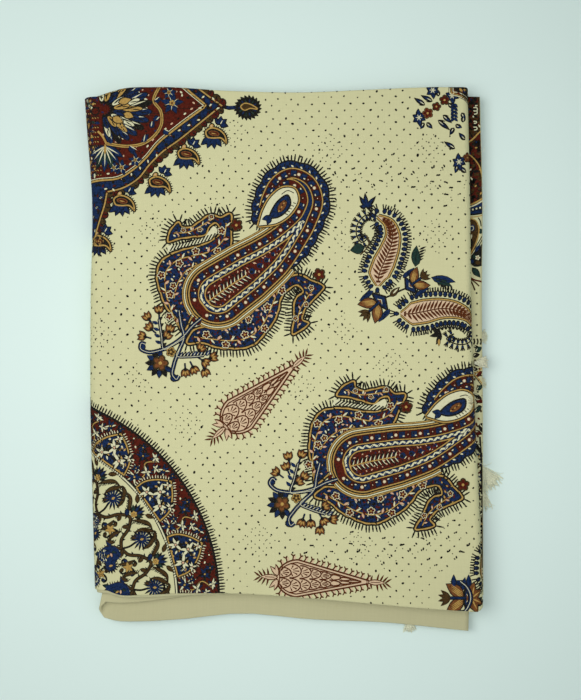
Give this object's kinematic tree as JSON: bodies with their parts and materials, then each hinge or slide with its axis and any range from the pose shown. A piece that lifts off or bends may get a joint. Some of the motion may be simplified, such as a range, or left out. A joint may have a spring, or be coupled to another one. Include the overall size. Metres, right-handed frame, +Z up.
{
  "type": "folded kalamkari panel",
  "caption": "Block-printed cotton panel folded flat into a thin pile, print outside, with a fold along each side and knotted yarn tassels at its free edge.",
  "frame": {"origin": "middle of the flat underside, on the surface that the pile rests on", "axes": "+Z up through the pile, +X towards the free sides with the tassels, +Y away from the edge where the plain back of the pleats shows"},
  "size_m": [0.3378, 0.4371, 0.0228],
  "materials": {
    "printed_calico": "plain-weave cotton calico, block-printed and painted, soft and matt",
    "fringe_cotton": "loosely twisted undyed cotton yarn, matt"
  },
  "bodies": {
    "root": {"cloth": "printed_calico", "side_fringe": "fringe_cotton", "strip_tassel": "fringe_cotton", "end_tassel": "fringe_cotton"}
  },
  "joints": []
}
